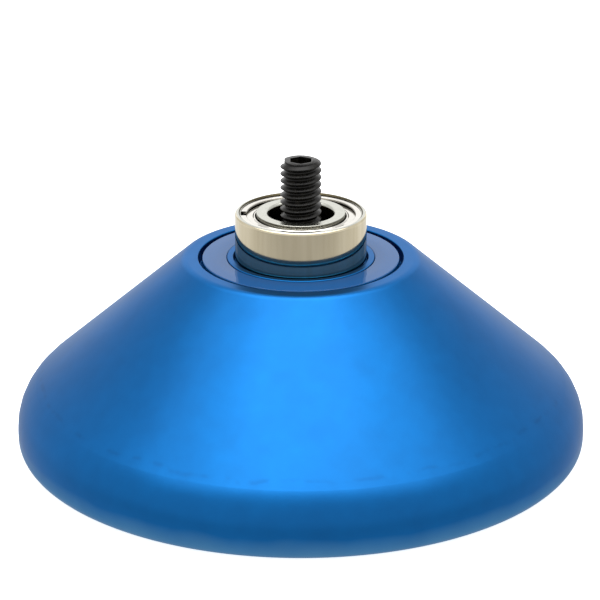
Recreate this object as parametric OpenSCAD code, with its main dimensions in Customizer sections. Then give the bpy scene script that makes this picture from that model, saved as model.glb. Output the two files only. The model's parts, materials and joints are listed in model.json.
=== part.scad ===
// Half of a ball-bearing yo-yo that lights up when it spins.
// Millimetres. The origin is the centre of the plane that the rim rests on, and +Z runs up the
// spin axis towards the free end of the axle.

/* [Body] */
// Diameter over the rim
body_d = 55.8; // [50:0.1:67]
// Height of the flat face round the bearing, above the rim
face_h = 18.8; // [17.5:0.1:22.6]
// Width of the flat face outside the pad groove
face_w = 0.96; // [0.4:0.01:3]
// Radius of the edge between face and flank
face_edge_r = 1.1; // [0.8:0.1:2]
// Radius of the shoulder between flank and rim
shoulder_r = 5.5; // [3:0.1:6]
// Height of the straight band round the rim
band_h = 0.8; // [0.5:0.1:2.5]
// Radius of the edge that the rim stands on
rim_edge_r = 1.1; // [0.8:0.1:1.8]
// Thickness of the flank, square to its surface
flank_t = 2; // [1.6:0.1:2.6]
// Thickness of the rim round the cap
rim_t = 2.55; // [2.3:0.05:3]
// Width of the ledge that the cap stops against
ledge_w = 2.4; // [1.8:0.1:3]
// Thickness of metal between the face and the cup's ceiling
web_t = 3.9; // [3.4:0.1:4.5]
// Radius of the column round the axle
hub_r = 5; // [4:0.1:5.2]

/* [Bearing] */
// Bore of the bearing
bearing_bore = 6.35; // [5.2:0.05:7]
// Outside diameter of the bearing
bearing_d = 12.7; // [12.2:0.05:15.3]
// Width of the bearing
bearing_w = 4.762; // [3.97:0.002:5.72]
// How far the bearing sits below the face
seat_depth = 0.3; // [0.1:0.05:0.6]
// Height of the post inside the bearing
post_h = 1.2; // [0.8:0.1:3]
// Diameter of the balls
ball_d = 1.588; // [1.4:0.002:1.8]
// Space between the races, inside their shields
race_space = 0.95; // [0.85:0.01:1]

/* [Response pad] */
// Thickness of the lip between the bearing and the pad
lip_t = 0.62; // [0.5:0.02:0.9]
// Width of the pad's groove
groove_w = 2.8; // [2.2:0.05:3.4]
// Depth of the pad's groove
groove_h = 1.3; // [1:0.05:1.5]
// Gap round the outside of the pad
pad_gap = 0.4; // [0.1:0.05:0.5]
// How far the pad sits below the face
pad_recess = 0.05; // [0:0.05:0.4]

/* [Axle] */
// Outside diameter of the axle's M4 thread
axle_d = 3.94; // [3.84:0.02:4.8]
// Depth of the thread's pitch line below its crests
thread_depth = 0.2; // [0.15:0.01:0.25]
// Length of the axle
axle_len = 20; // [18:0.5:22]
// How far the axle stands out of the face
axle_out = 9.65; // [9:0.05:11.6]
// Hex socket, across flats
socket_af = 2; // [1.6:0.1:2.4]
// Depth of the hex socket
socket_depth = 2.2; // [1.6:0.1:3]

/* [Side cap] */
// Gap under the cap when the half stands on its rim
cap_inset = 0.5; // [0.3:0.1:0.8]
// Thickness of the cap's window
cap_t = 1.6; // [1.2:0.1:1.8]
// Depth of the cap's seat in the rim
seat_h = 4.4; // [4.2:0.1:4.8]
// Angle that the bayonet turns
cap_turn = 30; // [20:1:40]
// Angle that a bayonet lug spans
lug_angle = 20; // [12:1:24]

/* [Light module] */
// Diameter of a button cell
cell_d = 7.9; // [6.6:0.1:9.5]
// Thickness of a button cell
cell_h = 3.6; // [3:0.1:4.4]
// Thickness of the circuit board
board_t = 1; // [0.8:0.1:1.2]
// Thickness of the tray's roof over the cells
tray_roof = 0.9; // [0.7:0.1:1.2]
// Width of a lamp
led_w = 5; // [3.5:0.1:6]
// How far out the lamps sit
led_pitch_r = 14; // [12:0.5:16]
// How far out the module's screws sit
screw_pitch_r = 9; // [8.6:0.1:9.4]
// Travel of the spin switch's weight
switch_travel = 1.25; // [0.8:0.05:1.4]

/* [Hidden] */
$fn = 96;
eps = 0.01;

// Clearances, each on the radius or on one side.
slip = 0.02;        // bearing on its post, pad in its groove, axle in its hole
race_gap = 0.03;    // ball to race
spin_gap = 0.17;    // bearing recess round the outer race
shield_gap = 0.11;  // shield round the inner race
snap_gap = 0.05;    // snap ring in its groove
cap_gap = 0.15;     // cap in the rim
cell_gap = 0.1;     // cell in its pocket
part_gap = 0.3;     // module to cup

// Body: the flank is the straight line that touches both round edges.
body_r = body_d / 2;
recess_r = bearing_d / 2 + spin_gap;
groove_in_r = recess_r + lip_t;
groove_out_r = groove_in_r + groove_w;
face_r = groove_out_r + face_w;
shoulder_c = [body_r - shoulder_r, rim_edge_r + band_h];
face_edge_c = [face_r, face_h - face_edge_r];
edge_run = face_edge_c - shoulder_c;
flank_angle = atan2(edge_run.y, edge_run.x) - acos((shoulder_r - face_edge_r) / norm(edge_run));
flank_n = [cos(flank_angle), sin(flank_angle)];
flank_start = shoulder_c + shoulder_r * flank_n;
flank_end = face_edge_c + face_edge_r * flank_n;
function flank_r(z, inset) = (flank_n * flank_start - inset - flank_n.y * z) / flank_n.x;
function flank_z(r, inset) = (flank_n * flank_start - inset - flank_n.x * r) / flank_n.y;
seat_r = body_r - rim_t;
cup_r = seat_r - ledge_w;
ceiling_z = face_h - web_t;

// Bearing
bearing_z = face_h - seat_depth;
bearing_mid = bearing_z + bearing_w / 2;
recess_floor = bearing_z - 0.45;
post_r = bearing_bore / 2 - slip;
race_chamfer = 0.3;
pitch_r = (bearing_bore + bearing_d) / 4;
inner_race_r = pitch_r - race_space / 2;
outer_race_r = pitch_r + race_space / 2;
race_groove_r = ball_d / 2 + race_gap;
shield_t = 0.24;
shield_z = bearing_w / 2 - 0.74;   // distance of a shield's inner side from mid-width
shield_out_r = bearing_d / 2 - 0.59;
ring_t = 0.22;
ring_z = bearing_w / 2 - 0.44;
ring_in_r = shield_out_r - 0.5;
ring_groove_r = bearing_d / 2 - 0.42;
ring_out_r = ring_groove_r - snap_gap;
race_lip_r = bearing_d / 2 - 0.55;
ring_opening = 12;                 // angle between the ends of a snap ring
ball_count = 8;
cage_in_r = pitch_r - 0.21;
cage_out_r = pitch_r + 0.21;

// Axle
axle_r = axle_d / 2;
engaged_r = axle_r - thread_depth;
engaged_top = bearing_z + post_h + 0.2;
axle_top = face_h + axle_out;
axle_bottom = axle_top - axle_len;
axle_chamfer = 0.35;
hub_z = axle_bottom - 1.95;
hole_z = axle_bottom - 0.5;

// Side cap
cap_r = seat_r - cap_gap;
cap_top = cap_inset + cap_t;
skirt_top = seat_h - 0.2;
skirt_t = 1.6;
o_ring_d = 0.8;
o_ring_z = cap_inset + 0.9;
o_ring_groove_r = seat_r - 2 * slip - o_ring_d;
lug_out_r = seat_r + 0.8;
lug_z = cap_top + 0.5;
lug_h = 0.9;
lug_gap = 0.12;
channel_r = lug_out_r + 0.2;
slot_r = lug_out_r + 0.12;
stop_play = 0.8;    // angle left at each end of a lug's travel
slot_play = 2;      // angle left at each side of a lug in its slot
LUGS = [0, 120, 240];

// Light module, stacked upwards from the board
board_z = seat_h + 0.6;
board_r = cup_r - part_gap;
tray_z = board_z + board_t;
contact_t = 0.2;
cell_z = tray_z + 0.4;             // its base contact springs in the gap below
pocket_top = cell_z + cell_h + contact_t + 0.1;
tray_top = pocket_top + tray_roof;
tray_h = tray_top - tray_z;
tray_r = flank_r(tray_top, flank_t) - part_gap;
pocket_r = cell_d / 2 + cell_gap;
pocket_wall = 0.95;
notch_w = 6.4;      // gaps in the tray for the switch and the chip
cell_pitch_r = tray_r - pocket_wall - pocket_r;
led_h = 1.4;
led_window_r = led_w * 0.38;
screw_r = 1;
screw_hole_r = screw_r + slip / 2;
screw_head_r = 1.9;
screw_head_h = 1.3;
boss_r = 2.2;
screw_top = ceiling_z - 0.6;
SCREWS = [0, 120, 240];
CELLS = [60, 180, 300];

// Spin switch, along +X
barrel_r = 1.85;
barrel_in_r = 1.5;
barrel_x = screw_pitch_r + 3.2;
barrel_len = 6;
barrel_z = tray_z + barrel_r + 0.1;
weight_r = barrel_in_r - 0.08;
weight_len = 2.4;
weight_x = barrel_x + 0.55;
contact_x = barrel_x + barrel_len - 0.6;
pin_x = weight_x + weight_len + switch_travel + 0.05;
spring_x = weight_x + weight_len + slip;
spring_r = 0.95;
spring_wire = 0.22;
spring_turns = 4;

// ---- helpers

module spin(angles) {
    for (a = angles) rotate(a) children();
}

module ring(in_r, out_r, z, h) {
    rotate_extrude() translate([in_r, z]) square([out_r - in_r, h]);
}

module arc_block(in_r, out_r, z, h, from, span) {
    rotate(from) rotate_extrude(angle = span) translate([in_r, z]) square([out_r - in_r, h]);
}

module chamfered_ring(in_r, out_r, z, h, in_c, out_c) {
    rotate_extrude() polygon([
        [in_r + in_c, z], [out_r - out_c, z], [out_r, z + out_c], [out_r, z + h - out_c],
        [out_r - out_c, z + h], [in_r + in_c, z + h], [in_r, z + h - in_c], [in_r, z + in_c]]);
}

module on_bearing(side) {
    translate([0, 0, bearing_mid]) scale([1, 1, side]) children();
}

// ---- body

module body_profile() {
    polygon([
        [0, 0], [body_r - rim_edge_r, 0], [body_r, rim_edge_r], [body_r, shoulder_c.y],
        flank_start, flank_end, [face_r, face_h], [0, face_h]]);
    translate([body_r - rim_edge_r, rim_edge_r]) circle(rim_edge_r);
    intersection() {
        translate(shoulder_c) circle(shoulder_r);
        translate(shoulder_c) square(shoulder_r + 1);
    }
    translate(face_edge_c) circle(face_edge_r);
}

module cup_profile() {
    edge = 0.3;
    polygon([
        [0, -1], [seat_r + edge + 1, -1], [seat_r, edge], [seat_r, seat_h], [cup_r, seat_h],
        [cup_r, flank_z(cup_r, flank_t)], [flank_r(ceiling_z, flank_t), ceiling_z],
        [hub_r, ceiling_z], [hub_r, hub_z + 0.5], [hub_r - 0.5, hub_z], [0, hub_z]]);
}

module hub_face_profile() {
    c = 0.12;
    // recess round the bearing, with a shoulder under the inner race only
    polygon([
        [post_r, bearing_z], [inner_race_r - 0.15, bearing_z],
        [inner_race_r - 0.15, recess_floor], [recess_r, recess_floor], [recess_r, face_h - c],
        [recess_r + c, face_h], [recess_r + c, face_h + 1], [post_r, face_h + 1]]);
    // groove for the pad, its outer edge broken
    polygon([
        [groove_in_r, face_h - groove_h], [groove_out_r, face_h - groove_h],
        [groove_out_r, face_h - c], [groove_out_r + c, face_h], [groove_out_r + c, face_h + 1],
        [groove_in_r - c, face_h + 1], [groove_in_r - c, face_h], [groove_in_r, face_h - c]]);
}

module body_shell() {
    color("dodgerblue") difference() {
        union() {
            rotate_extrude() difference() {
                body_profile();
                cup_profile();
                hub_face_profile();
            }
            // post inside the bearing
            translate([0, 0, bearing_z - 1]) cylinder(r = post_r, h = post_h + 0.7);
            translate([0, 0, bearing_z + post_h - 0.3]) cylinder(r1 = post_r, r2 = post_r - 0.3, h = 0.3);
            // bosses for the module's screws
            spin(SCREWS) translate([screw_pitch_r, 0, tray_top])
                cylinder(r = boss_r, h = ceiling_z - tray_top + 0.5);
        }
        translate([0, 0, hole_z]) cylinder(r = engaged_r + slip / 2, h = axle_len);
        spin(SCREWS) translate([screw_pitch_r, 0, tray_top - 1])
            cylinder(r = screw_hole_r, h = screw_top - tray_top + 1.3);
        // bayonet: a channel that each lug turns in, and a wider slot where it comes out
        spin(LUGS) {
            arc_block(seat_r - 1, channel_r, lug_z - lug_gap, lug_h + 2 * lug_gap,
                -lug_angle / 2 - stop_play, lug_angle + cap_turn + 2 * stop_play);
            arc_block(seat_r - 1, slot_r, -1, lug_z + lug_h / 2 + 1,
                cap_turn - lug_angle / 2 - slot_play, lug_angle + 2 * slot_play);
        }
    }
}

module response_pad() {
    color("steelblue")
        chamfered_ring(groove_in_r + slip, groove_out_r - pad_gap, face_h - groove_h,
            groove_h - pad_recess, 0, 0.06);
}

// ---- bearing

module race_groove() {
    rotate_extrude() translate([pitch_r, bearing_mid]) circle(race_groove_r);
}

module inner_race() {
    color("silver") difference() {
        chamfered_ring(bearing_bore / 2, inner_race_r, bearing_z, bearing_w, race_chamfer, 0.06);
        race_groove();
    }
}

module outer_race() {
    color("lightgray") difference() {
        chamfered_ring(outer_race_r, bearing_d / 2, bearing_z, bearing_w, 0, race_chamfer);
        race_groove();
        for (side = [-1, 1]) on_bearing(side) {
            ring(0, race_lip_r, shield_z, bearing_w);
            ring(0, ring_groove_r, ring_z, ring_t + 2 * snap_gap);
        }
    }
}

module shield(side) {
    curl = 0.12;
    in_r = inner_race_r + shield_gap;
    color("gainsboro") on_bearing(side) rotate_extrude() {
        translate([in_r, shield_z + slip]) square([shield_out_r - slip - in_r, shield_t]);
        translate([in_r, shield_z + slip]) square([curl, shield_t + curl]);
    }
}

module snap_ring(side) {
    color("silver") on_bearing(side)
        arc_block(ring_in_r, ring_out_r, ring_z + snap_gap, ring_t,
            180 + ring_opening / 2, 360 - ring_opening);
}

module ball_cage() {
    color("goldenrod") difference() {
        ring(cage_in_r, cage_out_r, bearing_mid - ball_d * 0.66, ball_d);
        for (i = [1:ball_count]) at_ball(i) sphere(r = ball_d / 2 + race_gap);
    }
}

module at_ball(i) {
    rotate(i * 360 / ball_count) translate([pitch_r, 0, bearing_mid]) children();
}

module ball(i) {
    color("whitesmoke") at_ball(i) sphere(r = ball_d / 2);
}

// ---- axle

module axle_screw() {
    color("dimgray") difference() {
        union() {
            // full diameter where it is free, pitch diameter where the body's thread holds it
            translate([0, 0, engaged_top])
                cylinder(r = axle_r, h = axle_top - axle_chamfer - engaged_top);
            translate([0, 0, axle_bottom + axle_chamfer])
                cylinder(r = engaged_r, h = axle_len - 2 * axle_chamfer);
            translate([0, 0, axle_bottom])
                cylinder(r1 = engaged_r - axle_chamfer, r2 = engaged_r, h = axle_chamfer);
            translate([0, 0, axle_top - axle_chamfer])
                cylinder(r1 = axle_r, r2 = axle_r - axle_chamfer, h = axle_chamfer);
        }
        translate([0, 0, axle_top - socket_depth]) rotate(30)
            cylinder(r = socket_af / 2 / cos(30), h = socket_depth + 1, $fn = 6);
    }
}

// ---- side cap

module lens_cap() {
    color("white", 0.4) difference() {
        union() {
            chamfered_ring(0, cap_r, cap_inset, skirt_top - cap_inset, 0, 0.2);
            spin(LUGS) arc_block(cap_r - 1, lug_out_r, lug_z, lug_h, -lug_angle / 2, lug_angle);
        }
        translate([0, 0, cap_top]) cylinder(r = cap_r - skirt_t, h = seat_h);
        ring(o_ring_groove_r, cap_r + 0.1, o_ring_z - o_ring_d / 2 - 0.05, o_ring_d + 0.1);
        // blind holes for a pin wrench
        spin(CELLS) translate([cap_r - 4.5, 0, cap_inset - 1]) cylinder(r = 1.2, h = 1.8);
    }
}

module cap_o_ring() {
    color("black") rotate_extrude()
        translate([seat_r - slip - o_ring_d / 2, o_ring_z]) circle(o_ring_d / 2);
}

// ---- light module

module circuit_board() {
    color("darkgreen") difference() {
        translate([0, 0, board_z]) cylinder(r = board_r, h = board_t);
        translate([0, 0, board_z - 1]) cylinder(r = hub_r + part_gap, h = board_t + 2);
        spin(SCREWS) translate([screw_pitch_r, 0, board_z - 1])
            cylinder(r = screw_hole_r, h = board_t + 2);
    }
}

module led_case(i) {
    color("white") rotate(CELLS[i - 1]) translate([led_pitch_r, 0, board_z - led_h]) difference() {
        translate([-led_w / 2, -led_w / 2, 0]) cube([led_w, led_w, led_h]);
        translate([0, 0, -1]) cylinder(r = led_window_r, h = 1.6);
    }
}

module led_window(i) {
    color("gold") rotate(CELLS[i - 1]) translate([led_pitch_r, 0, board_z - led_h])
        cylinder(r = led_window_r - eps, h = 0.6 - eps);
}

module cell_tray() {
    notch_r = barrel_x - 0.5;
    color("ghostwhite") difference() {
        translate([0, 0, tray_z]) cylinder(r = tray_r, h = tray_h);
        translate([0, 0, tray_z - 1]) cylinder(r = hub_r + part_gap, h = tray_h + 2);
        spin(CELLS) translate([cell_pitch_r, 0, tray_z - 1])
            cylinder(r = pocket_r, h = pocket_top - tray_z + 1);
        spin(SCREWS) {
            translate([screw_pitch_r, 0, tray_z - 1]) cylinder(r = screw_hole_r, h = tray_h + 2);
            translate([notch_r, -notch_w / 2, tray_z - 1]) cube([tray_r, notch_w, tray_h + 2]);
        }
    }
}

module cell(i) {
    color("silver") rotate(CELLS[i - 1]) translate([cell_pitch_r, 0, cell_z]) {
        cylinder(r = cell_d / 2 - 0.5, h = 0.3);
        translate([0, 0, 0.3]) cylinder(r = cell_d / 2, h = cell_h - 0.3);
    }
}

module top_contact(i) {
    color("khaki") rotate(CELLS[i - 1]) translate([cell_pitch_r, 0, cell_z + cell_h + eps])
        linear_extrude(contact_t) difference() {
            square([cell_d * 0.75, 2.4], center = true);
            square([cell_d * 0.4, 0.8], center = true);
        }
}

module base_contact(i) {
    blade = [cell_d * 0.7, 2, contact_t];
    color("khaki") rotate(CELLS[i - 1]) translate([cell_pitch_r, 0, tray_z]) {
        translate([-blade.x / 2, -blade.y / 2, 0]) cube(blade);
        cylinder(r1 = 1.2, r2 = 0.8, h = cell_z - tray_z - eps);
    }
}

module resistor(i) {
    color("black") rotate(CELLS[i - 1]) translate([led_pitch_r - led_w / 2 - 2, -0.8, board_z - 0.5])
        cube([0.8, 1.6, 0.5]);
}

module driver_chip() {
    body = [3.9, 4.9, 1.5];
    pin = [1, 0.4, 0.5];
    color("black") rotate(SCREWS[1]) translate([screw_pitch_r + 5.8, 0, tray_z]) {
        translate([-body.x / 2, -body.y / 2, 0.1]) cube(body);
        for (side = [-1, 1], k = [-1.5:1:1.5])
            translate([side * (body.x / 2 + 0.3) - pin.x / 2, k * 1.27 - pin.y / 2, 0]) cube(pin);
    }
}

module module_screws() {
    color("gray") spin(SCREWS) translate([screw_pitch_r, 0, board_z]) difference() {
        union() {
            cylinder(r = screw_r, h = screw_top - board_z);
            translate([0, 0, -screw_head_h]) cylinder(r = screw_head_r, h = screw_head_h);
        }
        for (a = [0, 90]) rotate(a)
            translate([-1.1, -0.2, -screw_head_h - 1]) cube([2.2, 0.4, 1.7]);
    }
}

// ---- spin switch

module along_switch(x) {
    translate([x, 0, barrel_z]) rotate([0, 90, 0]) children();
}

module switch_barrel() {
    color("goldenrod") difference() {
        along_switch(barrel_x) cylinder(r = barrel_r, h = barrel_len);
        along_switch(barrel_x + 0.4) cylinder(r = barrel_in_r, h = barrel_len);
    }
}

module switch_weight() {
    color("peru") along_switch(weight_x) cylinder(r = weight_r, h = weight_len);
}

module switch_contact() {
    color("silver") {
        along_switch(contact_x) cylinder(r = barrel_in_r - eps, h = 0.6);
        along_switch(pin_x) cylinder(r = 0.35, h = contact_x - pin_x + 0.1);
    }
}

module switch_spring() {
    sides = 8;
    per_turn = 14;
    steps = spring_turns * per_turn;
    wire_r = spring_wire / 2;
    length = contact_x - spring_x - slip;
    rise = (length - spring_wire) / steps;
    points = [for (k = [0:steps], j = [0:sides - 1])
        let (a = k * 360 / per_turn, b = j * 360 / sides, r = spring_r + wire_r * cos(b))
        [r * cos(a), r * sin(a), wire_r + k * rise + wire_r * sin(b)]];
    walls = [for (k = [0:steps - 1], j = [0:sides - 1])
        let (n = (j + 1) % sides, low = k * sides, high = low + sides)
        [low + j, high + j, high + n, low + n]];
    ends = [[for (j = [0:sides - 1]) j], [for (j = [sides - 1:-1:0]) steps * sides + j]];
    color("lightgray") along_switch(spring_x) polyhedron(points, concat(walls, ends));
}

body_shell();
response_pad();
inner_race();
outer_race();
shield(1);  // top_shield
shield(-1);  // bottom_shield
snap_ring(1);  // top_snap_ring
snap_ring(-1);  // bottom_snap_ring
ball_cage();
for (i = [1:ball_count]) ball(i);
axle_screw();
lens_cap();
cap_o_ring();
circuit_board();
cell_tray();
for (i = [1:3]) led_case(i);
for (i = [1:3]) led_window(i);
for (i = [1:3]) cell(i);
for (i = [1:3]) top_contact(i);
for (i = [1:3]) base_contact(i);
for (i = [1:3]) resistor(i);
driver_chip();
module_screws();
switch_barrel();
switch_weight();
switch_spring();
switch_contact();
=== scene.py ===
import json
import math
import bmesh
import bpy
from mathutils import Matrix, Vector


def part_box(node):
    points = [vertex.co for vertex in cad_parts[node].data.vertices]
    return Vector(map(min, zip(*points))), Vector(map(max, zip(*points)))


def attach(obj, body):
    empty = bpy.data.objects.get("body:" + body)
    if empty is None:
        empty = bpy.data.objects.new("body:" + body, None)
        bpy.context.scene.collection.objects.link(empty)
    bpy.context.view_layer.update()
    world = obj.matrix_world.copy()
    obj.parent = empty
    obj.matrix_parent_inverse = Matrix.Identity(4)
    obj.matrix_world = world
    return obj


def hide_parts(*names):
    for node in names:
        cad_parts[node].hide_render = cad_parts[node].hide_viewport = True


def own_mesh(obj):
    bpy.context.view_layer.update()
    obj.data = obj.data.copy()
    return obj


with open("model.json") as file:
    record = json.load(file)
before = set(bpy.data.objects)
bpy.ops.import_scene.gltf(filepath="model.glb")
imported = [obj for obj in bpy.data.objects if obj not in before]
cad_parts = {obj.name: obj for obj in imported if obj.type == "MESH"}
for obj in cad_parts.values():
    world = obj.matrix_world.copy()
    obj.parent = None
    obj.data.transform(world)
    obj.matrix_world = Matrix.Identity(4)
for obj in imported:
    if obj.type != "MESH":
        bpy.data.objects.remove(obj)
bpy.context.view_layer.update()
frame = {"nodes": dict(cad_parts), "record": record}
mm = 0.001
print("frame loaded:", len(frame["nodes"]), "nodes")

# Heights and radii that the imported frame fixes, in millimetres.
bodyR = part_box("body_shell")[1].x / mm
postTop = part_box("body_shell")[1].z / mm
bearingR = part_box("outer_race")[1].x / mm
bearingLow, bearingHigh = (corner.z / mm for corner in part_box("outer_race"))
bearingMid = (bearingLow + bearingHigh) / 2
padR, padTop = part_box("response_pad")[1].x / mm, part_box("response_pad")[1].z / mm
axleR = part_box("axle_screw")[1].x / mm
axleLow, axleHigh = (corner.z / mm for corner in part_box("axle_screw"))
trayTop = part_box("cell_tray")[1].z / mm
seatDepth = 0.3  # how far the bearing sits below the face
faceH = bearingLow + seatDepth


# Small helpers

def linear(hexColour):
    channels = [int(hexColour[i:i + 2], 16) / 255 for i in (1, 3, 5)]
    return [c / 12.92 if c <= 0.04045 else ((c + 0.055) / 1.055) ** 2.4 for c in channels] + [1.0]


def addNode(material, kind, inputs, output=0, **settings):
    node = material.node_tree.nodes.new(kind)
    for name, value in settings.items():
        setattr(node, name, value)
    for socket, value in inputs.items():
        if isinstance(value, bpy.types.NodeSocket):
            material.node_tree.links.new(value, node.inputs[socket])
        else:
            node.inputs[socket].default_value = value
    return node.outputs[output] if node.outputs else None


# a noise texture mostly stays between these two values
spread = {"From Min": 0.3, "From Max": 0.7}


def startMaterial(name):
    material = bpy.data.materials.new(name)
    material.use_nodes = True
    material.node_tree.nodes.clear()
    return material


def roundOff(corners, step=10, leastFlat=0.15, hold=0.03):
    # corners are (radius, height, fillet) in mm; every fillet becomes a true arc
    arcs = []
    for i, (x, z, fillet) in enumerate(corners):
        here = Vector((x, z))
        before = (Vector(corners[i - 1][:2]) - here).normalized()
        after = (Vector(corners[(i + 1) % len(corners)][:2]) - here).normalized()
        turn = math.pi - before.angle(after)
        if fillet == 0 or turn < 0.01:
            arcs.append([here])
            continue
        reach = fillet * math.tan(turn / 2)
        centre = here + (before + after).normalized() * fillet / math.cos(turn / 2)
        first, last = here + before * reach - centre, here + after * reach - centre
        steps = max(2, math.ceil(math.degrees(turn) / step))
        arcs.append([centre + (first * math.sin((1 - k / steps) * turn)
                               + last * math.sin(k / steps * turn)) / math.sin(turn)
                     for k in range(steps + 1)])
    outline = []
    for i, arc in enumerate(arcs):
        outline += arc
        # a point close to each arc keeps the flat between them shaded flat
        run = arcs[(i + 1) % len(arcs)][0] - arc[-1]
        if run.length > leastFlat:
            inset = run.normalized() * hold
            outline += [arc[-1] + inset, arc[-1] + run - inset]
    return outline


def revolveInto(build, outline, start=0, span=360, sides=240):
    whole = span == 360
    columns = []
    for k in range(sides if whole else sides + 1):
        a = math.radians(start + span * k / sides)
        columns.append([build.verts.new(Vector((p.x * math.cos(a), p.x * math.sin(a), p.y)) * mm)
                        for p in outline])
    count = len(outline)
    for k in range(sides):
        here, there = columns[k], columns[(k + 1) % len(columns)]
        for j in range(count):
            n = (j + 1) % count
            if outline[j].x > 0 or outline[n].x > 0:
                build.faces.new((here[j], there[j], there[n], here[n]))
    if not whole:
        build.faces.new(columns[0])
        build.faces.new(columns[-1][::-1])
    return build


def makePiece(name, build, sharp=35):
    bmesh.ops.remove_doubles(build, verts=build.verts, dist=1e-8)
    bmesh.ops.recalc_face_normals(build, faces=build.faces)
    mesh = bpy.data.meshes.new(name)
    build.to_mesh(mesh)
    build.free()
    mesh.shade_smooth()
    mesh.set_sharp_from_angle(angle=math.radians(sharp))
    piece = bpy.data.objects.new(name, mesh)
    bpy.context.scene.collection.objects.link(piece)
    return piece


def revolve(name, corners, sides=240):
    return makePiece(name, revolveInto(bmesh.new(), roundOff(corners), sides=sides))


def combine(piece, other, operation, sharp=35):
    change = piece.modifiers.new(operation, "BOOLEAN")
    change.operation, change.object, change.solver = operation, other, "EXACT"
    bpy.context.view_layer.update()
    shaped = bpy.data.meshes.new_from_object(piece.evaluated_get(bpy.context.evaluated_depsgraph_get()))
    piece.modifiers.clear()
    piece.data = shaped
    shaped.shade_smooth()
    shaped.set_sharp_from_angle(angle=math.radians(sharp))
    bpy.data.objects.remove(other)


def addPrism(build, outline, low, high):
    # outline is (x, y) in mm
    floor = [build.verts.new(Vector((x, y, low)) * mm) for x, y in outline]
    roof = [build.verts.new(Vector((x, y, high)) * mm) for x, y in outline]
    build.faces.new(floor[::-1])
    build.faces.new(roof)
    for j in range(len(outline)):
        n = (j + 1) % len(outline)
        build.faces.new((floor[j], floor[n], roof[n], roof[j]))


def circlePoints(radius, sides, centre=(0, 0), turn=0):
    return [(centre[0] + radius * math.cos(math.radians(turn + 360 * k / sides)),
             centre[1] + radius * math.sin(math.radians(turn + 360 * k / sides))) for k in range(sides)]


def polar(radius, angle):
    return radius * math.cos(math.radians(angle)), radius * math.sin(math.radians(angle))


def finishPiece(piece, bodyName, node, slotName, *materials):
    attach(piece, bodyName)
    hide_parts(node)
    for material in materials:
        piece.data.materials.append(material)


# Camera

camera = {"lens": 140.97, "back": 213.7, "above": 77.7, "side": -0.08, "tilt": 21.07}


def placeCamera():
    eye = bpy.data.objects.new("camera", bpy.data.cameras.new("camera"))
    eye.data.lens = camera["lens"]
    eye.data.sensor_width = 36
    eye.data.clip_start, eye.data.clip_end = 0.01, 10
    eye.location = Vector((camera["side"], -camera["back"], faceH + camera["above"])) * mm
    eye.rotation_euler = (math.radians(90 - camera["tilt"]), 0, 0)
    bpy.context.scene.collection.objects.link(eye)
    bpy.context.scene.camera = eye


placeCamera()
print("camera placed")


# Body: one turned, bead-blasted and dyed aluminium half

body = {
    # outer shape, in mm
    "shoulderR": 5.5, "bandH": 0.8, "rimEdgeR": 1.1, "faceEdgeR": 1.1, "faceW": 0.96,
    # the cup on the far side
    "flankT": 2.0, "rimT": 2.55, "ledgeW": 2.4, "seatH": 4.4, "webT": 3.9, "webFillet": 1.2,
    "cupFillet": 0.6, "seatEdge": 0.15, "footR": 0.28, "hubR": 5.0, "hubDrop": 1.95, "hubEdge": 0.5,
    # seat of the bearing, pad groove and tapped hole
    "lipT": 0.62, "grooveW": 2.8, "grooveH": 1.3, "recessGap": 0.17, "recessDrop": 0.45, "edgeBreak": 0.1,
    "raceShoulderR": 4.1375, "postR": 3.155, "postEdge": 0.3, "tappedR": 1.99, "tappedEdge": 0.15,
    "holeRunOut": 0.5, "drillPoint": 0.4,
    # bayonet for the cap: lug angles in degrees, the rest in mm
    "lugs": (0, 120, 240), "lugAngle": 20, "lugTurn": 30, "channelR": 26.3, "slotR": 26.22,
    "lugZ": 2.6, "lugH": 0.9, "lugGap": 0.12, "stopPlay": 0.8, "slotPlay": 2,
    # bosses for the module's screws
    "screwPitchR": 9, "screws": (0, 120, 240), "screwHoleR": 1.01, "bossR": 2.2,
    # finish, with a paler blue at the foot of the rim that is painted reflection of the floor
    "blue": "#0069B2", "deepBlue": "#0061A6", "scuff": "#004F8C", "paintedRimReflection": "#5590BC", "edgeTint": "#D0DBE8",
    "roughness": 0.35, "coat": 0.18, "coatIor": 1.6, "coatRoughness": 0.3,
    "clouds": 9, "wander": 5, "patches": 1.6,
    "blastGrit": 0.22,  # real bead dimples are a few hundredths, drawn coarser so that they show
    "scuffZ": 6.6, "scuffH": 0.22, "scuffDrift": 0.2, "footZ": 0.3, "paintedReflectionTopZ": 2.2,
}


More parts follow.
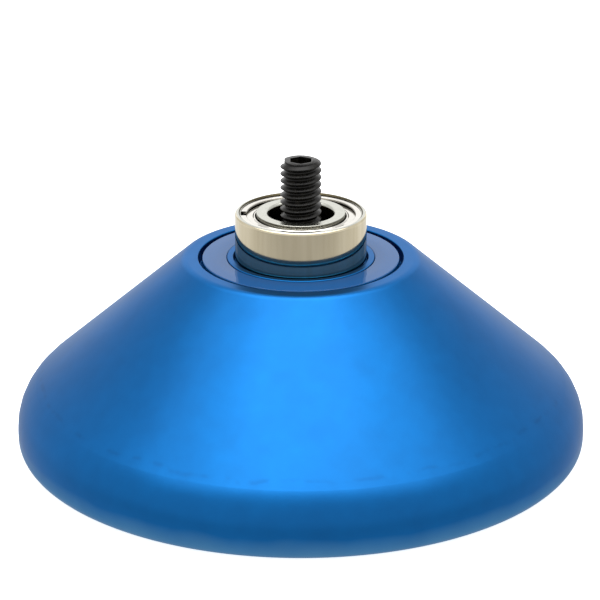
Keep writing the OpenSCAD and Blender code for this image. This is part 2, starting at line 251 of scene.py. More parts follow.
def anodisedAluminium():
    # Type II anodised over bead blasting: deep even blue, satin glow that spreads along the flank, a thin
    # clear oxide that pales the grazing edges, and a fine grit that only sparkles close up.
    material = startMaterial("anodisedAluminiumBlasted")
    place = addNode(material, "ShaderNodeTexCoord", {}, "Object")
    clouds = addNode(material, "ShaderNodeTexNoise",
                     {"Vector": place, "Scale": 1 / (body["clouds"] * mm), "Detail": 3.0})
    grit = addNode(material, "ShaderNodeTexNoise",
                   {"Vector": place, "Scale": 1 / (body["blastGrit"] * mm), "Detail": 3.0})
    wander = addNode(material, "ShaderNodeTexNoise",
                     {"Vector": place, "Scale": 1 / (body["wander"] * mm), "Detail": 2.0})
    patches = addNode(material, "ShaderNodeTexNoise",
                      {"Vector": place, "Scale": 1 / (body["patches"] * mm), "Detail": 2.0})
    height = addNode(material, "ShaderNodeSeparateXYZ", {"Vector": place}, "Z")
    shift = addNode(material, "ShaderNodeMapRange", {
        "Value": wander, **spread,
        "To Min": -body["scuffDrift"] * mm, "To Max": body["scuffDrift"] * mm})
    height = addNode(material, "ShaderNodeMath", {0: height, 1: shift}, operation="ADD")
    # the string's rub leaves a faint broken ring low on the flank
    away = addNode(material, "ShaderNodeMath", {0: height, 1: body["scuffZ"] * mm}, operation="SUBTRACT")
    away = addNode(material, "ShaderNodeMath", {0: away}, operation="ABSOLUTE")
    ring = addNode(material, "ShaderNodeMapRange", {
        "Value": away, "From Min": 0, "From Max": body["scuffH"] * mm, "To Min": 1, "To Max": 0},
        interpolation_type="SMOOTHSTEP")
    broken = addNode(material, "ShaderNodeMapRange", {
        "Value": patches, "From Min": 0.42, "From Max": 0.66, "To Min": 0, "To Max": 0.4})
    ring = addNode(material, "ShaderNodeMath", {0: ring, 1: broken}, operation="MULTIPLY")
    # painted reflection: the blue turns paler towards the foot of the rim, standing in for the floor mirrored
    # there
    wearAndPaintedRimLight = addNode(material, "ShaderNodeMapRange", {
        "Value": height, "From Min": body["footZ"] * mm, "From Max": body["paintedReflectionTopZ"] * mm,
        "To Min": 0.9, "To Max": 0})
    mottled = addNode(material, "ShaderNodeMath", {0: patches, 1: 0.5, 2: clouds}, operation="MULTIPLY_ADD")
    cloudy = addNode(material, "ShaderNodeMapRange", {"Value": mottled, "From Min": 0.5, "From Max": 1.0})
    colour = addNode(material, "ShaderNodeMix", {
        0: cloudy, 6: linear(body["blue"]), 7: linear(body["deepBlue"])}, 2, data_type="RGBA")
    colour = addNode(material, "ShaderNodeMix", {0: ring, 6: colour, 7: linear(body["scuff"])}, 2,
                     data_type="RGBA")
    colour = addNode(material, "ShaderNodeMix", {0: wearAndPaintedRimLight, 6: colour, 7: linear(body["paintedRimReflection"])}, 2,
                     data_type="RGBA")
    roughness = addNode(material, "ShaderNodeMapRange", {
        "Value": clouds, **spread,
        "To Min": body["roughness"] - 0.015, "To Max": body["roughness"] + 0.015})
    normal = addNode(material, "ShaderNodeBump", {"Height": grit, "Distance": 0.006 * mm, "Strength": 0.5})
    shader = addNode(material, "ShaderNodeBsdfPrincipled", {
        "Base Color": colour, "Metallic": 1.0, "Roughness": roughness, "Normal": normal,
        "Specular Tint": linear(body["edgeTint"]), "Coat Weight": body["coat"], "Coat IOR": body["coatIor"],
        "Coat Roughness": body["coatRoughness"], "Coat Normal": normal})
    addNode(material, "ShaderNodeOutputMaterial", {"Surface": shader})
    return material


def flankLine(faceR):
    # the straight flank touches both round edges: normal . point = reach
    shoulder = Vector((bodyR - body["shoulderR"], body["rimEdgeR"] + body["bandH"]))
    faceEdge = Vector((faceR, faceH - body["faceEdgeR"]))
    run = faceEdge - shoulder
    angle = math.atan2(run.y, run.x) - math.acos((body["shoulderR"] - body["faceEdgeR"]) / run.length)
    normal = Vector((math.cos(angle), math.sin(angle)))
    return normal, normal.dot(shoulder) + body["shoulderR"]


def buildBody():
    recessR = bearingR + body["recessGap"]
    grooveIn = recessR + body["lipT"]
    grooveOut = grooveIn + body["grooveW"]
    normal, reach = flankLine(grooveOut + body["faceW"])

    def radiusAt(z, inset=0):
        return (reach - inset - normal.y * z) / normal.x

    def heightAt(r, inset=0):
        return (reach - inset - normal.x * r) / normal.y

    seatR = bodyR - body["rimT"]
    cupR = seatR - body["ledgeW"]
    ceiling = faceH - body["webT"]
    hubZ = axleLow - body["hubDrop"]
    floorOfRecess = bearingLow - body["recessDrop"]
    edge = body["edgeBreak"]
    tappedR = body["tappedR"]
    holeEnd = axleLow - body["holeRunOut"]
    piece = revolve("bodyShell", [
        (0, hubZ, 0), (body["hubR"], hubZ, body["hubEdge"]), (body["hubR"], ceiling, body["hubEdge"]),
        (radiusAt(ceiling, body["flankT"]), ceiling, body["webFillet"]),
        (cupR, heightAt(cupR, body["flankT"]), body["cupFillet"]),
        (cupR, body["seatH"], body["seatEdge"]), (seatR, body["seatH"], body["seatEdge"]),
        (seatR, 0, body["footR"]),
        (bodyR, 0, body["rimEdgeR"]), (bodyR, heightAt(bodyR), body["shoulderR"]),
        (radiusAt(faceH), faceH, body["faceEdgeR"]), (grooveOut, faceH, edge),
        (grooveOut, faceH - body["grooveH"], edge), (grooveIn, faceH - body["grooveH"], edge),
        (grooveIn, faceH, edge), (recessR, faceH, edge), (recessR, floorOfRecess, edge),
        (body["raceShoulderR"], floorOfRecess, edge / 2), (body["raceShoulderR"], bearingLow, edge / 2),
        (body["postR"], bearingLow, 0), (body["postR"], postTop, body["postEdge"]),
        (tappedR, postTop, body["tappedEdge"]), (tappedR, holeEnd, 0),
        (0, holeEnd - body["drillPoint"], 0)], sides=288)
    bosses, holes, channels, slots = (bmesh.new() for _ in range(4))
    # each cutter or boss runs a little past the face that it meets
    for angle in body["screws"]:
        middle = polar(body["screwPitchR"], angle)
        addPrism(bosses, circlePoints(body["bossR"], 48, middle), trayTop, ceiling + 0.6)
        addPrism(holes, circlePoints(body["screwHoleR"], 32, middle), trayTop - 1, ceiling - 0.3)
    half = body["lugAngle"] / 2
    innerR = seatR - 1
    for angle in body["lugs"]:
        low, high = body["lugZ"] - body["lugGap"], body["lugZ"] + body["lugH"] + body["lugGap"]
        ring = [Vector(p) for p in ((innerR, low), (body["channelR"], low),
                                    (body["channelR"], high), (innerR, high))]
        revolveInto(channels, ring, angle - half - body["stopPlay"],
                    2 * half + body["lugTurn"] + 2 * body["stopPlay"], 48)
        low, high = -1, body["lugZ"] + body["lugH"] / 2
        ring = [Vector(p) for p in ((innerR, low), (body["slotR"], low),
                                    (body["slotR"], high), (innerR, high))]
        revolveInto(slots, ring, angle + body["lugTurn"] - half - body["slotPlay"],
                    2 * half + 2 * body["slotPlay"], 32)
    for name, build, operation in (("bosses", bosses, "UNION"), ("holes", holes, "DIFFERENCE"),
                                   ("channels", channels, "DIFFERENCE"), ("slots", slots, "DIFFERENCE")):
        combine(piece, makePiece(name, build), operation)
    finishPiece(piece, "half", "body_shell", "anodised_body", anodisedAluminium())


buildBody()
print("body built")


# Response pad: cast silicone ring in its groove

pad = {"innerR": 7.16, "edgeR": 0.12, "footR": 0.05, "crown": 0.02, "crownR": 12,
       "blue": "#0A5390", "darkBlue": "#094D87", "roughness": 0.03, "waves": 3.5}


def castSilicone():
    # Poured and cured silicone: wet-looking gloss over a dull blue, with slow waves in the gloss.
    material = startMaterial("siliconeCastGloss")
    place = addNode(material, "ShaderNodeTexCoord", {}, "Object")
    waves = addNode(material, "ShaderNodeTexNoise",
                    {"Vector": place, "Scale": 1 / (pad["waves"] * mm), "Detail": 1.0})
    colour = addNode(material, "ShaderNodeMix", {
        0: waves, 6: linear(pad["blue"]), 7: linear(pad["darkBlue"])}, 2, data_type="RGBA")
    roughness = addNode(material, "ShaderNodeMapRange", {
        "Value": waves, **spread,
        "To Min": pad["roughness"] - 0.01, "To Max": pad["roughness"] + 0.02})
    normal = addNode(material, "ShaderNodeBump", {"Height": waves, "Distance": 0.006 * mm, "Strength": 0.1})
    shader = addNode(material, "ShaderNodeBsdfPrincipled", {
        "Base Color": colour, "Roughness": roughness, "IOR": 1.43, "Specular IOR Level": 0.36,
        "Normal": normal})
    addNode(material, "ShaderNodeOutputMaterial", {"Surface": shader})
    return material


def buildPad():
    bottom = faceH - body["grooveH"]
    middle = (pad["innerR"] + padR) / 2
    piece = revolve("responsePad", [
        (pad["innerR"], bottom, 0), (padR, bottom, pad["footR"]), (padR, padTop - pad["crown"], pad["edgeR"]),
        (middle, padTop, pad["crownR"]), (pad["innerR"], padTop - pad["crown"], pad["edgeR"])])
    finishPiece(piece, "half", "response_pad", "blue_silicone", castSilicone())


buildPad()
print("response pad built")


# Bearing: shielded R188 ball bearing

bearing = {
    # races, in mm
    "boreR": 3.175, "corner": 0.3, "pitchR": 4.7625, "space": 0.95, "ballR": 0.794, "ballGap": 0.03,
    "lipR": 5.8, "lipZ": 1.641, "ringZ": 1.941, "ringGrooveR": 5.93, "leadIn": 0.18,
    "lipEdge": 0.06, "leadEdge": (0.03, 0.02),
    # snap ring
    "ringT": 0.22, "ringGap": 0.05, "ringInR": 5.26, "ringOutR": 5.88, "ringOpening": 12,
    "ringEdges": (0.08, 0.05, 0.08, 0.1),
    # shield
    "shieldOutR": 5.74, "shieldT": 0.24, "shieldGap": 0.11, "curl": 0.12, "slip": 0.02,
    "shieldEdge": 0.05, "curlEdge": 0.06, "curlFootR": 0.15,
    # finishes, with the size of each pattern
    "wall": "#E6DBBF", "wallDark": "#D5C9AB", "streaks": 0.9,
    "grind": 0.12,  # real grinding lines are some micrometres, drawn coarser so that they show
    "face": "#CFCFC6", "faceDark": "#C2C2B8", "lap": 0.5,
    # the dark olive is painted shade for the recesses of the races
    "paintedShade": "#5E5640", "paintedShadeDark": "#453F2E", "shadeBlotches": 0.6,
    "shield": "#EAE7E0", "shieldDark": "#DDD9D0", "peel": 0.7,
}


def groundSteel():
    # Chrome bearing steel, centreless ground: a mirror with faint upright streaks and a warm cast.
    material = startMaterial("bearingSteelGround")
    place = addNode(material, "ShaderNodeTexCoord", {}, "Object")
    upright = addNode(material, "ShaderNodeMapping", {"Vector": place, "Scale": (1, 1, 0.04)})
    streaks = addNode(material, "ShaderNodeTexNoise",
                      {"Vector": upright, "Scale": 1 / (bearing["streaks"] * mm), "Detail": 3.0})
    fine = addNode(material, "ShaderNodeTexNoise",
                   {"Vector": upright, "Scale": 1 / (bearing["grind"] * mm), "Detail": 2.0})
    tone = addNode(material, "ShaderNodeMapRange", {"Value": streaks, **spread})
    colour = addNode(material, "ShaderNodeMix", {
        0: tone, 6: linear(bearing["wall"]), 7: linear(bearing["wallDark"])}, 2, data_type="RGBA")
    roughness = addNode(material, "ShaderNodeMapRange", {
        "Value": streaks, **spread, "To Min": 0.05, "To Max": 0.09})
    normal = addNode(material, "ShaderNodeBump", {"Height": fine, "Distance": 0.0006 * mm, "Strength": 0.3})
    shader = addNode(material, "ShaderNodeBsdfPrincipled", {
        "Base Color": colour, "Metallic": 1.0, "Roughness": roughness, "Normal": normal})
    addNode(material, "ShaderNodeOutputMaterial", {"Surface": shader})
    return material


def lappedSteel():
    # The same steel, lapped flat: brighter and softer, with a fine haze from the lap.
    material = startMaterial("bearingSteelLapped")
    place = addNode(material, "ShaderNodeTexCoord", {}, "Object")
    haze = addNode(material, "ShaderNodeTexNoise",
                   {"Vector": place, "Scale": 1 / (bearing["lap"] * mm), "Detail": 3.0})
    colour = addNode(material, "ShaderNodeMix", {
        0: haze, 6: linear(bearing["face"]), 7: linear(bearing["faceDark"])}, 2, data_type="RGBA")
    roughness = addNode(material, "ShaderNodeMapRange", {
        "Value": haze, **spread, "To Min": 0.2, "To Max": 0.26})
    normal = addNode(material, "ShaderNodeBump", {"Height": haze, "Distance": 0.0015 * mm, "Strength": 0.3})
    shader = addNode(material, "ShaderNodeBsdfPrincipled", {
        "Base Color": colour, "Metallic": 1.0, "Roughness": roughness, "Normal": normal})
    addNode(material, "ShaderNodeOutputMaterial", {"Surface": shader})
    return material


def paintedShadeSteel():
    # Painted shade: the same steel turned dark olive with a low sheen, for the bore and the walls from the
    # lip outwards, where shade falls.
    material = startMaterial("bearingSteelPaintedShade")
    place = addNode(material, "ShaderNodeTexCoord", {}, "Object")
    shadeBlotches = addNode(material, "ShaderNodeTexNoise",
                   {"Vector": place, "Scale": 1 / (bearing["shadeBlotches"] * mm), "Detail": 3.0})
    colour = addNode(material, "ShaderNodeMix", {
        0: shadeBlotches, 6: linear(bearing["paintedShade"]), 7: linear(bearing["paintedShadeDark"])}, 2, data_type="RGBA")
    roughness = addNode(material, "ShaderNodeMapRange", {
        "Value": shadeBlotches, **spread, "To Min": 0.2, "To Max": 0.35})
    shader = addNode(material, "ShaderNodeBsdfPrincipled", {
        "Base Color": colour, "Metallic": 1.0, "Roughness": roughness})
    addNode(material, "ShaderNodeOutputMaterial", {"Surface": shader})
    return material


def pressedStainless():
    # Stamped stainless sheet, bright rolled: a near mirror with slow orange-peel.
    material = startMaterial("stainlessPressed")
    place = addNode(material, "ShaderNodeTexCoord", {}, "Object")
    peel = addNode(material, "ShaderNodeTexNoise",
                   {"Vector": place, "Scale": 1 / (bearing["peel"] * mm), "Detail": 2.0})
    colour = addNode(material, "ShaderNodeMix", {
        0: peel, 6: linear(bearing["shield"]), 7: linear(bearing["shieldDark"])}, 2, data_type="RGBA")
    roughness = addNode(material, "ShaderNodeMapRange", {
        "Value": peel, **spread, "To Min": 0.09, "To Max": 0.15})
    normal = addNode(material, "ShaderNodeBump", {"Height": peel, "Distance": 0.002 * mm, "Strength": 0.25})
    shader = addNode(material, "ShaderNodeBsdfPrincipled", {
        "Base Color": colour, "Metallic": 1.0, "Roughness": roughness, "Normal": normal})
    addNode(material, "ShaderNodeOutputMaterial", {"Surface": shader})
    return material


def ballTrack(side):
    # arc of the groove that the balls run in; side is 1 on the inner race and -1 on the outer one
    radius = bearing["ballR"] + bearing["ballGap"]
    reach = math.degrees(math.acos(bearing["space"] / 2 / radius))
    middle = 180 if side == 1 else 0
    points = []
    for k in range(9):
        x, z = polar(radius, middle - reach + 2 * reach * k / 8)
        points.append((bearing["pitchR"] + x, bearingMid + z, 0))
    return points


def buildRaces(ground, lapped, paintedShade):
    innerR = bearing["pitchR"] - bearing["space"] / 2
    outerR = bearing["pitchR"] + bearing["space"] / 2
    boreR, corner, edge = (bearing[k] for k in ("boreR", "corner", "lipEdge"))
    inner = revolve("innerRace", [(boreR, bearingLow, corner), (innerR, bearingLow, edge)]
                    + ballTrack(1)[::-1] + [(innerR, bearingHigh, edge), (boreR, bearingHigh, corner)])
    finishPiece(inner, "half", "inner_race", "bearing_steel", lapped, paintedShade)
    # the bore takes the painted shade
    for face in inner.data.polygons:
        if face.center.xy.length < (boreR + 0.02) * mm:
            face.material_index = 1
    lipR, lipZ, ringZ, grooveR = (bearing[k] for k in ("lipR", "lipZ", "ringZ", "ringGrooveR"))
    ringH = bearing["ringT"] + 2 * bearing["ringGap"]
    top = bearingHigh - bearingMid
    steps = [(lipR + bearing["leadIn"], top, bearing["leadEdge"][0]),
             (lipR, top - bearing["leadIn"], bearing["leadEdge"][1]),
             (lipR, ringZ + ringH, 0), (grooveR, ringZ + ringH, 0),
             (grooveR, ringZ, 0), (lipR, ringZ, 0), (lipR, lipZ, 0), (outerR, lipZ, 0)]
    topSide, bottomSide = ([(r, bearingMid + side * z, f) for r, z, f in steps] for side in (1, -1))
    outline = ([(bearingR, bearingLow, corner), (bearingR, bearingHigh, corner)] + topSide
               + ballTrack(-1)[::-1] + bottomSide[::-1])
    outer = revolve("outerRace", outline)
    finishPiece(outer, "outer_race", "outer_race", "bearing_steel", lapped, ground, paintedShade)
    # the outer wall is ground steel; the upright and sloped faces from the lip wall outwards take the painted
    # shade
    for face in outer.data.polygons:
        if face.center.xy.length > (bearingR - 0.5 * corner) * mm:
            face.material_index = 1
        elif face.center.xy.length > (lipR - 0.01) * mm and abs(face.normal.z) < 0.9:
            face.material_index = 2


def buildShield(stainless):
    innerR = bearing["pitchR"] - bearing["space"] / 2 + bearing["shieldGap"]
    outerR = bearing["shieldOutR"] - bearing["slip"]
    low = bearingMid + bearing["lipZ"] + bearing["slip"]
    high = low + bearing["shieldT"]
    curl, curlEdge = bearing["curl"], bearing["curlEdge"]
    piece = revolve("topShield", [
        (innerR, low, bearing["shieldEdge"]), (outerR, low, 0), (outerR, high, 0),
        (innerR + 2 * curl, high, bearing["curlFootR"]),
        (innerR + curl, high + curl, curlEdge), (innerR, high + curl, curlEdge)])
    finishPiece(piece, "outer_race", "top_shield", "shield_steel", stainless)


def buildSnapRing(stainless):
    low = bearingMid + bearing["ringZ"] + bearing["ringGap"]
    high = low + bearing["ringT"]
    inner, outer, edges = bearing["ringInR"], bearing["ringOutR"], bearing["ringEdges"]
    outline = roundOff([(inner, low, edges[0]), (outer, low, edges[1]),
                        (outer, high, edges[2]), (inner, high, edges[3])])
    build = revolveInto(bmesh.new(), outline, 180 + bearing["ringOpening"] / 2,
                        360 - bearing["ringOpening"], 232)
    finishPiece(makePiece("topSnapRing", build), "outer_race", "top_snap_ring", "shield_steel", stainless)


stainless = pressedStainless()
buildRaces(groundSteel(), lappedSteel(), paintedShadeSteel())
buildShield(stainless)
buildSnapRing(stainless)
print("bearing built")


# Axle: M4 set screw with a hex socket

axle = {
    "pitch": 0.7, "rootR": 1.57, "endR": 1.55, "endDepth": 0.42, "socketAf": 2.0, "socketDepth": 2.2,
    "columns": 96, "crestOverFace": 0.273, "black": "#0A0907", "wearAndPaintedRimLight": "#201E18", "roughness": 0.27,
    "patches": 0.35,
    "specks": 0.08,  # real oxide crystals are about a micrometre, drawn coarser so that they show
    # place along one pitch, and the share of the way from root to crest
    "form": ((-0.03, 1.0), (0.03, 1.0), (0.055, 0.94), (0.25, 0.08), (0.29, 0.015), (0.35, 0.0),
             (0.41, 0.015), (0.45, 0.08), (0.645, 0.94)),
}


def blackOxide():
    # Rolled thread, black oxide and oil: near black, with grey where the crests catch the light.
    material = startMaterial("blackOxideSteel")
    place = addNode(material, "ShaderNodeTexCoord", {}, "Object")
    patches = addNode(material, "ShaderNodeTexNoise",
                      {"Vector": place, "Scale": 1 / (axle["patches"] * mm), "Detail": 3.0})
    specks = addNode(material, "ShaderNodeTexNoise",
                     {"Vector": place, "Scale": 1 / (axle["specks"] * mm), "Detail": 2.0})
    wearAndPaintedRimLight = addNode(material, "ShaderNodeMapRange", {"Value": patches, "From Min": 0.45, "From Max": 0.75})
    colour = addNode(material, "ShaderNodeMix", {
        0: wearAndPaintedRimLight, 6: linear(axle["black"]), 7: linear(axle["wearAndPaintedRimLight"])}, 2, data_type="RGBA")
    roughness = addNode(material, "ShaderNodeMapRange", {
        "Value": patches, **spread,
        "To Min": axle["roughness"] - 0.05, "To Max": axle["roughness"] + 0.07})
    normal = addNode(material, "ShaderNodeBump", {"Height": specks, "Distance": 0.003 * mm, "Strength": 0.4})
    # the oxide film is a dull dielectric, so it is not given the steel's own shine
    shader = addNode(material, "ShaderNodeBsdfPrincipled", {
        "Base Color": colour, "Roughness": roughness, "IOR": 1.35, "Normal": normal})
    addNode(material, "ShaderNodeOutputMaterial", {"Surface": shader})
    return material


def threadPoint(height, radius, angle):
    # both ends are rounded off below the root, so the thread fades out there
    height = min(max(height, axleLow), axleHigh)
    left = min(height - axleLow, axleHigh - height, axle["endDepth"]) / axle["endDepth"]
    limit = axle["endR"] + (axleR - axle["endR"]) * math.sqrt(1 - (1 - left) ** 2)
    radius = min(radius, limit)
    return Vector((radius * math.cos(angle), radius * math.sin(angle), height)) * mm


def buildAxle():
    form, columns, pitch = axle["form"], axle["columns"], axle["pitch"]
    start = faceH + axle["crestOverFace"] - pitch * math.ceil((faceH - axleLow) / pitch + 2)
    turns = math.ceil((axleHigh - start) / pitch) + 1
    build = bmesh.new()
    grid = []
    for i in range(columns):
        angle = 2 * math.pi * i / columns
        rise = pitch * i / columns
        grid.append([build.verts.new(threadPoint(
            start + rise + turn * pitch + along, axle["rootR"] + share * (axleR - axle["rootR"]), angle))
            for turn in range(turns) for along, share in form])
    for i in range(columns):
        # one turn on, the thread has climbed by one whole pitch
        here, there = grid[i], grid[(i + 1) % columns]
        climb = len(form) if i + 1 == columns else 0
        for j in range(len(here) - 1 - climb):
            build.faces.new((here[j], there[j + climb], there[j + 1 + climb], here[j + 1]))
    bmesh.ops.remove_doubles(build, verts=build.verts, dist=1e-7)
    bmesh.ops.dissolve_degenerate(build, edges=build.edges, dist=1e-8)
    bmesh.ops.holes_fill(build, edges=build.edges, sides=0)
    piece = makePiece("axleScrew", build, 50)
    socket = bmesh.new()
    across = axle["socketAf"] / 2 / math.cos(math.radians(30))
    addPrism(socket, circlePoints(across, 6, turn=30), axleHigh - axle["socketDepth"], axleHigh + 1)
    combine(piece, makePiece("socket", socket), "DIFFERENCE", 50)
    finishPiece(piece, "half", "axle_screw", "black_oxide", blackOxide())


buildAxle()
print("axle built")


# What is inside keeps its own shape and gets its finish

inside = {
    "switchTravel": 1.25,
    "clearTint": "#F2F6F8", "clearHaze": "#E9EFF2", "hazeSize": 4,
    "metalSpread": 0.2, "plasticSpread": 0.15,  # how far the roughness strays, as a share of itself
    # slot, colour, second colour, roughness, size of the blotches in mm, and the material's name
    "metals": (
        ("ball_steel", "#D2D2D0", "#C4C4C2", 0.05, 0.4, "bearingSteelPolished"),  # a clean mirror
        ("cage_steel", "#B7A98C", "#9C8F75", 0.3, 0.3, "stampedCageSteel"),  # warm strip, half dull
        ("shield_steel", "#E6E4DF", "#D9D6CF", 0.12, 0.7, "stainlessPressedInner"),  # bright rolled sheet
        ("cell_can", "#D0CEC8", "#BFBDB7", 0.24, 0.6, "nickelPlatedCan"),  # even, soft shine
        ("contact_plating", "#D6BE86", "#C2A76C", 0.22, 0.4, "goldFlashedBronze"),  # pale yellow, thin gold
        ("screw_steel", "#BDBFC2", "#A6A8AB", 0.28, 0.3, "zincPlatedSteel"),  # blue-white, grainy
        ("switch_brass", "#C9A25A", "#B18A45", 0.26, 0.5, "turnedBrass"),  # warm, soft highlights
        ("spring_steel", "#BEBEC0", "#A4A4A8", 0.22, 0.2, "drawnSpringSteel"),  # grey shine
    ),
    "plastics": (
        ("seal_rubber", "#131313", "#1C1C1C", 0.62, 0.3, "nitrileRubber"),  # black and matt
        ("board_laminate", "#0F5A35", "#0B4A2B", 0.32, 1.1, "glassEpoxyBoard"),  # green satin mask
        ("tray_plastic", "#E9E9E4", "#DDDDD7", 0.48, 0.4, "mouldedNylon"),  # off white and matt
        ("led_case_white", "#F0EFEA", "#E2E1DB", 0.4, 0.3, "mouldedPolyphthalamide"),  # white, half matt
        ("led_window_clear", "#E6C548", "#D6B02E", 0.2, 0.15, "phosphorSilicone"),  # yellow, glossy gel
        ("resistor_black", "#17171A", "#26262A", 0.3, 0.25, "glazedCeramic"),  # black, small gloss
        ("chip_black", "#1B1B1C", "#242425", 0.55, 0.15, "mouldedEpoxy"),  # charcoal, fine grain
    ),
}


def metalFinish(first, second, rough, size, name):
    material = startMaterial(name)
    place = addNode(material, "ShaderNodeTexCoord", {}, "Object")
    blotches = addNode(material, "ShaderNodeTexNoise",
                       {"Vector": place, "Scale": 1 / (size * mm), "Detail": 3.0})
    colour = addNode(material, "ShaderNodeMix", {0: blotches, 6: linear(first), 7: linear(second)}, 2,
                     data_type="RGBA")
    roughness = addNode(material, "ShaderNodeMapRange", {
        "Value": blotches, **spread,
        "To Min": rough * (1 - inside["metalSpread"]), "To Max": rough * (1 + inside["metalSpread"])})
    normal = addNode(material, "ShaderNodeBump",
                     {"Height": blotches, "Distance": 0.002 * mm, "Strength": 0.3})
    shader = addNode(material, "ShaderNodeBsdfPrincipled", {
        "Base Color": colour, "Metallic": 1.0, "Roughness": roughness, "Normal": normal})
    addNode(material, "ShaderNodeOutputMaterial", {"Surface": shader})
    return material


def plasticFinish(first, second, rough, size, name):
    material = startMaterial(name)
    place = addNode(material, "ShaderNodeTexCoord", {}, "Object")
    blotches = addNode(material, "ShaderNodeTexNoise",
                       {"Vector": place, "Scale": 1 / (size * mm), "Detail": 3.0})
    pores = addNode(material, "ShaderNodeTexNoise",
                    {"Vector": place, "Scale": 3 / (size * mm), "Detail": 2.0})
    colour = addNode(material, "ShaderNodeMix", {0: blotches, 6: linear(first), 7: linear(second)}, 2,
                     data_type="RGBA")
    roughness = addNode(material, "ShaderNodeMapRange", {
        "Value": blotches, **spread,
        "To Min": rough * (1 - inside["plasticSpread"]), "To Max": rough * (1 + inside["plasticSpread"])})
    normal = addNode(material, "ShaderNodeBump", {"Height": pores, "Distance": 0.004 * mm, "Strength": 0.3})
    shader = addNode(material, "ShaderNodeBsdfPrincipled", {
        "Base Color": colour, "Roughness": roughness, "IOR": 1.5, "Normal": normal})
    addNode(material, "ShaderNodeOutputMaterial", {"Surface": shader})
    return material


def clearPolycarbonate():
    # Injection-moulded clear polycarbonate: glassy, with a slight haze.
    material = startMaterial("polycarbonateClear")
    place = addNode(material, "ShaderNodeTexCoord", {}, "Object")
    haze = addNode(material, "ShaderNodeTexNoise",
                   {"Vector": place, "Scale": 1 / (inside["hazeSize"] * mm), "Detail": 2.0})
    colour = addNode(material, "ShaderNodeMix", {
        0: haze, 6: linear(inside["clearTint"]), 7: linear(inside["clearHaze"])}, 2,
        data_type="RGBA")
    roughness = addNode(material, "ShaderNodeMapRange", {
        "Value": haze, **spread, "To Min": 0.02, "To Max": 0.06})
    shader = addNode(material, "ShaderNodeBsdfPrincipled", {
        "Base Color": colour, "Roughness": roughness, "IOR": 1.585, "Transmission Weight": 1.0})
    addNode(material, "ShaderNodeOutputMaterial", {"Surface": shader})
    return material


def finishInside():
    finishes = {"clear_cap": clearPolycarbonate()}
    for slotName, *look in inside["metals"]:
        finishes[slotName] = metalFinish(*look)
    for slotName, *look in inside["plastics"]:
        finishes[slotName] = plasticFinish(*look)
    for part in frame["record"]["subparts"]:
        node = frame["nodes"][part["node"]]
        if not node.hide_render:
            node.data.materials.clear()
            node.data.materials.append(finishes[part["material_slot"]])
    return finishes


def buildSpring(steel):
    # a copy of the coil in its own mesh; on the real toy it shortens as the weight flies out against it, here
    # it keeps its shape
    coil = frame["nodes"]["switch_spring"]
    piece = bpy.data.objects.new("switchSpring", coil.data.copy())
    piece.matrix_world = coil.matrix_world.copy()
    piece.data.materials.clear()
    piece.data.shade_smooth()
    bpy.context.scene.collection.objects.link(piece)
    finishPiece(piece, "half", "switch_spring", "spring_steel", steel)
    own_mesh(piece)


finishes = finishInside()
buildSpring(finishes["spring_steel"])
print("inner pieces finished")


# Stage and light

stage = {"floor": 6.0, "floorDrop": 0.02, "white": "#EDEDED", "fibre": "#EAEAEA", "fibreSize": 2,
         "seen": 0.8, "world": 0.8, "worldDeep": 0.25, "deepFrom": 2, "deepTo": 3,
         "mirroredFront": 0.5, "mirroredBack": 0.95, "frontY": -60, "backY": 70,
         "shade": 1.15, "shadeR": (28, 50)}
softBox = {"size": (1.05, 0.6), "height": 0.62, "strength": 1.2}
innerBox = {"size": (0.5, 0.58), "height": 0.64, "strength": 1.5}
backPanel = {"size": (1.2, 0.62), "back": 0.95, "height": 0.38, "strength": 0.42}


def floorMaterial():
    # Painted light: white paper with an added glow to the eye; in reflections only a glow, dimmer than to the
    # eye, brighter towards the back and a little brighter close to the piece; open from below
    material = startMaterial("floorPaper")
    ray = addNode(material, "ShaderNodeLightPath", {}, "Is Camera Ray")
    under = addNode(material, "ShaderNodeNewGeometry", {}, "Backfacing")
    place = addNode(material, "ShaderNodeTexCoord", {}, "Object")
    fibre = addNode(material, "ShaderNodeTexNoise",
                    {"Vector": place, "Scale": 1 / (stage["fibreSize"] * mm), "Detail": 2.0})
    white = addNode(material, "ShaderNodeMix", {
        0: fibre, 6: linear(stage["white"]), 7: linear(stage["fibre"])}, 2, data_type="RGBA")
    paper = addNode(material, "ShaderNodeBsdfDiffuse", {"Color": white})
    glow = addNode(material, "ShaderNodeEmission", {"Strength": stage["seen"]})
    seen = addNode(material, "ShaderNodeAddShader", {0: paper, 1: glow})
    reach = addNode(material, "ShaderNodeVectorMath", {0: place}, "Value", operation="LENGTH")
    near = addNode(material, "ShaderNodeMapRange", {
        "Value": reach, "From Min": stage["shadeR"][0] * mm, "From Max": stage["shadeR"][1] * mm,
        "To Min": stage["shade"], "To Max": 1})
    depth = addNode(material, "ShaderNodeSeparateXYZ", {"Vector": place}, "Y")
    light = addNode(material, "ShaderNodeMapRange", {
        "Value": depth, "From Min": stage["frontY"] * mm, "From Max": stage["backY"] * mm,
        "To Min": stage["mirroredFront"], "To Max": stage["mirroredBack"]})
    light = addNode(material, "ShaderNodeMath", {0: near, 1: light}, operation="MULTIPLY")
    mirrored = addNode(material, "ShaderNodeEmission", {"Strength": light})
    top = addNode(material, "ShaderNodeMixShader", {0: ray, 1: mirrored, 2: seen})
    clear = addNode(material, "ShaderNodeBsdfTransparent", {})
    both = addNode(material, "ShaderNodeMixShader", {0: under, 1: top, 2: clear})
    addNode(material, "ShaderNodeOutputMaterial", {"Surface": both})
    return material


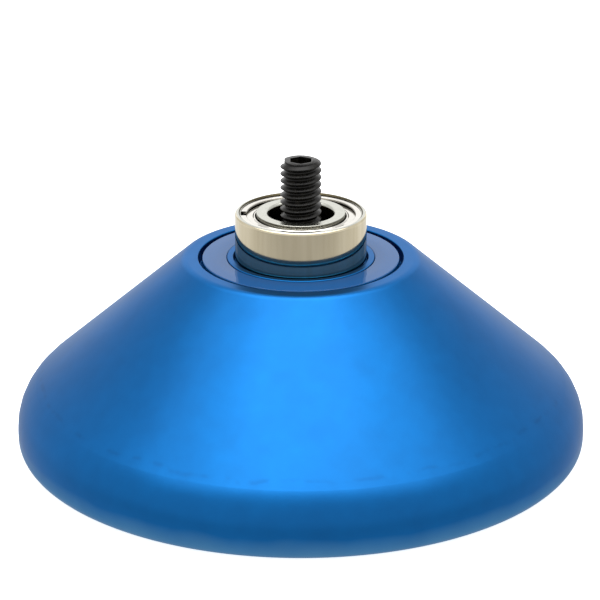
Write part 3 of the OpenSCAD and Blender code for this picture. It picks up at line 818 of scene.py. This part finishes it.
def buildStage():
    build = bmesh.new()
    bmesh.ops.create_grid(build, x_segments=1, y_segments=1, size=stage["floor"] / 2)
    mesh = bpy.data.meshes.new("floor")
    build.to_mesh(mesh)
    build.free()
    floor = bpy.data.objects.new("floor", mesh)
    floor.location.z = -stage["floorDrop"] * mm
    mesh.materials.append(floorMaterial())
    bpy.context.scene.collection.objects.link(floor)
    world = bpy.data.worlds.new("studio")
    world.use_nodes = True
    world.node_tree.nodes.clear()
    # white to the eye, softer as light, and dim where one piece mirrors another, as in a room
    # that is dark behind the camera
    seen = addNode(world, "ShaderNodeLightPath", {}, "Is Camera Ray")
    bounces = addNode(world, "ShaderNodeLightPath", {}, "Ray Depth")
    shade = addNode(world, "ShaderNodeMapRange", {
        "Value": bounces, "From Min": stage["deepFrom"], "From Max": stage["deepTo"],
        "To Min": stage["world"], "To Max": stage["worldDeep"]})
    shade = addNode(world, "ShaderNodeMath", {0: shade, 1: seen}, operation="MAXIMUM")
    sky = addNode(world, "ShaderNodeBackground", {"Color": (1, 1, 1, 1), "Strength": shade})
    addNode(world, "ShaderNodeOutputWorld", {"Surface": sky})
    bpy.context.scene.world = world


def addPanel(name, size, strength, place, target):
    light = bpy.data.lights.new(name, "AREA")
    light.shape, light.size, light.size_y = "RECTANGLE", size[0], size[1]
    light.energy = strength * math.pi * size[0] * size[1]
    panel = bpy.data.objects.new(name, light)
    panel.location = place
    panel.rotation_euler = (Vector(target) - Vector(place)).to_track_quat("-Z", "Y").to_euler()
    panel.visible_camera = False
    bpy.context.scene.collection.objects.link(panel)


buildStage()
addPanel("softBox", softBox["size"], softBox["strength"], (0, 0, softBox["height"]), (0, 0, 0))
addPanel("innerBox", innerBox["size"], innerBox["strength"], (0, 0, innerBox["height"]), (0, 0, 0))
addPanel("backPanel", backPanel["size"], backPanel["strength"],
         (0, backPanel["back"], backPanel["height"]), (0, 0, 0.02))
scene = bpy.context.scene
scene.view_settings.view_transform = "Standard"
scene.view_settings.look = "None"
print("stage lit")
